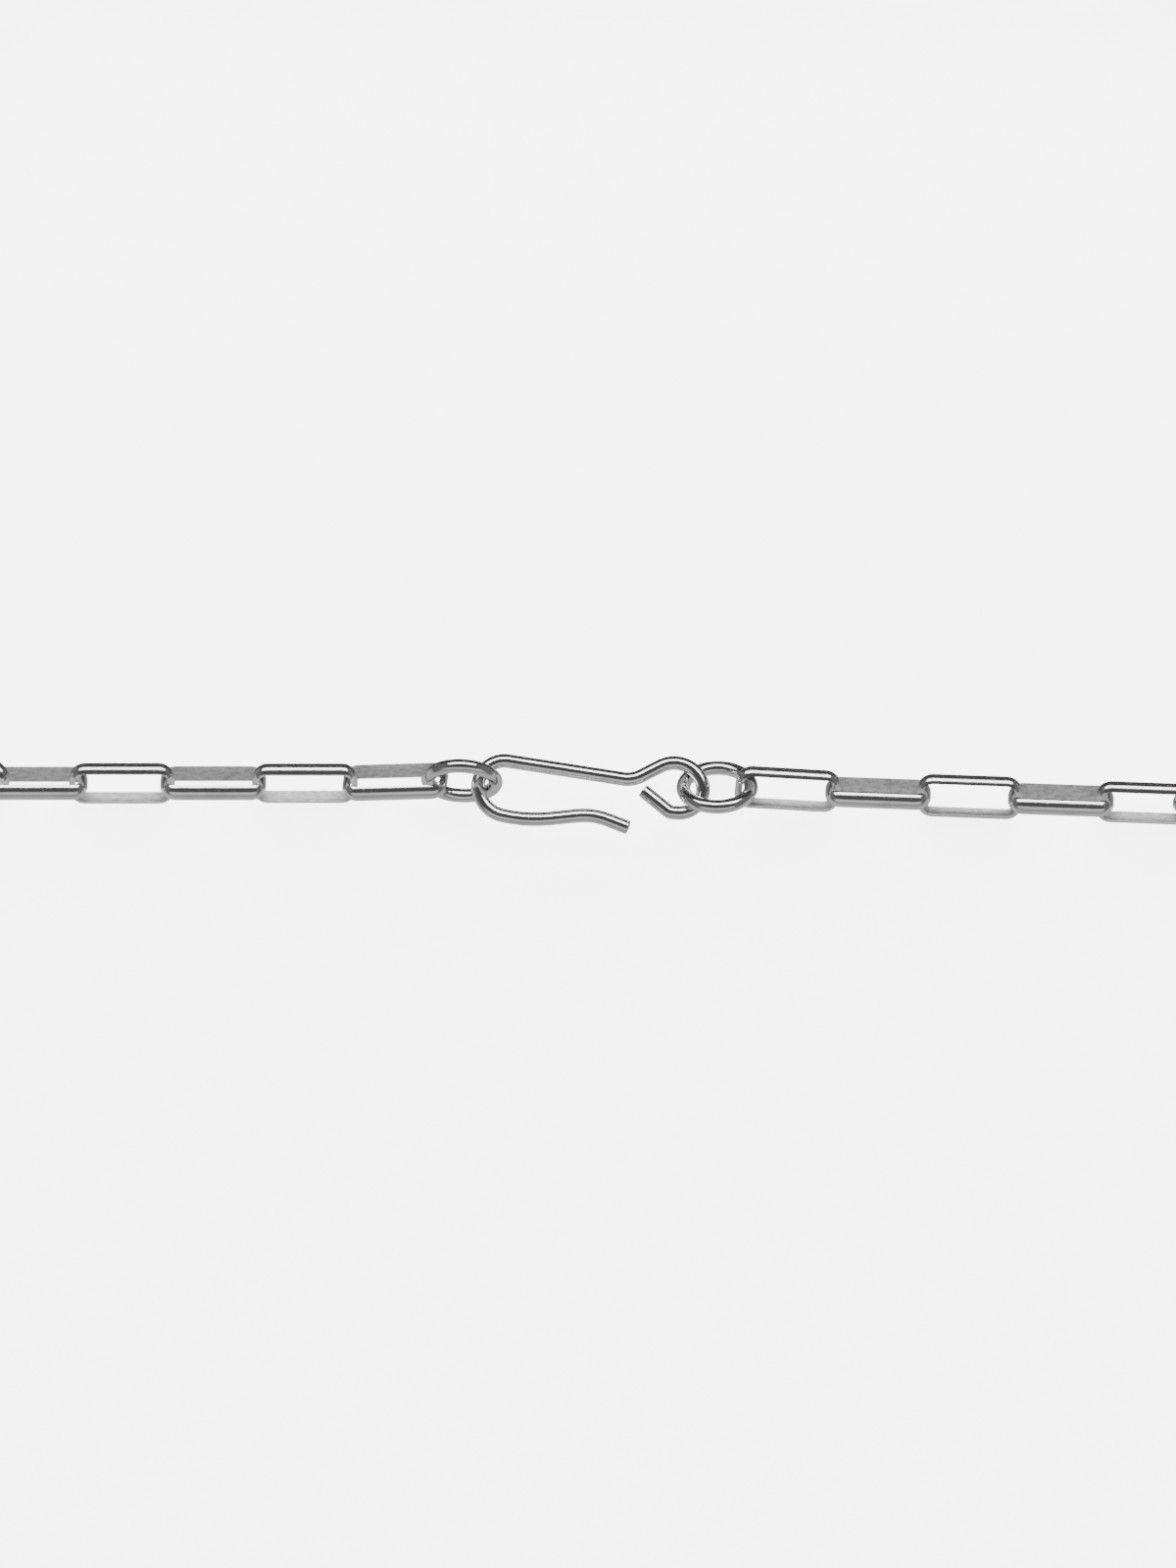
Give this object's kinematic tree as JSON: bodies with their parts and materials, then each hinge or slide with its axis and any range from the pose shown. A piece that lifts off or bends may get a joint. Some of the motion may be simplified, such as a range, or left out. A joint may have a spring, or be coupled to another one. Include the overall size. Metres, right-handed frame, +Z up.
{
  "type": "chain bracelet with hook clasp",
  "caption": "Bent-wire hook clasp closed between two jump rings, on a loop of long half-round paperclip links that lies flat, as a double-wrap bracelet",
  "frame": {"origin": "centre of the whole loop's outline, on the surface that it lies on", "axes": "+Z up from that surface, +X along the straight front stretch that holds the clasp, with the clasp's hooked end towards -X, and +Y from the clasp across the loop to its back stretch"},
  "size_m": [0.1236, 0.088, 0.0073],
  "materials": {
    "hook_wire": "polished silver, bent round wire",
    "ring_wire": "polished silver, round wire",
    "link_strip": "silver half-round strip, polished crown and satin flat inner face"
  },
  "bodies": {
    "root": {"hook": "hook_wire", "left_ring": "ring_wire", "right_ring": "ring_wire", "link_01": "link_strip", "link_02": "link_strip", "link_03": "link_strip", "link_04": "link_strip", "link_05": "link_strip", "link_06": "link_strip", "link_07": "link_strip", "link_08": "link_strip", "link_09": "link_strip", "link_10": "link_strip", "link_11": "link_strip", "link_12": "link_strip", "link_13": "link_strip", "link_14": "link_strip", "link_15": "link_strip", "link_16": "link_strip", "link_17": "link_strip", "link_18": "link_strip", "link_19": "link_strip", "link_20": "link_strip", "link_21": "link_strip", "link_22": "link_strip", "link_23": "link_strip", "link_24": "link_strip", "link_25": "link_strip", "link_26": "link_strip", "link_27": "link_strip", "link_28": "link_strip", "link_29": "link_strip", "link_30": "link_strip", "link_31": "link_strip", "link_32": "link_strip", "link_33": "link_strip", "link_34": "link_strip", "link_35": "link_strip", "link_36": "link_strip", "link_37": "link_strip", "link_38": "link_strip", "link_39": "link_strip", "link_40": "link_strip", "link_41": "link_strip", "link_42": "link_strip", "link_43": "link_strip", "link_44": "link_strip"}
  },
  "joints": []
}
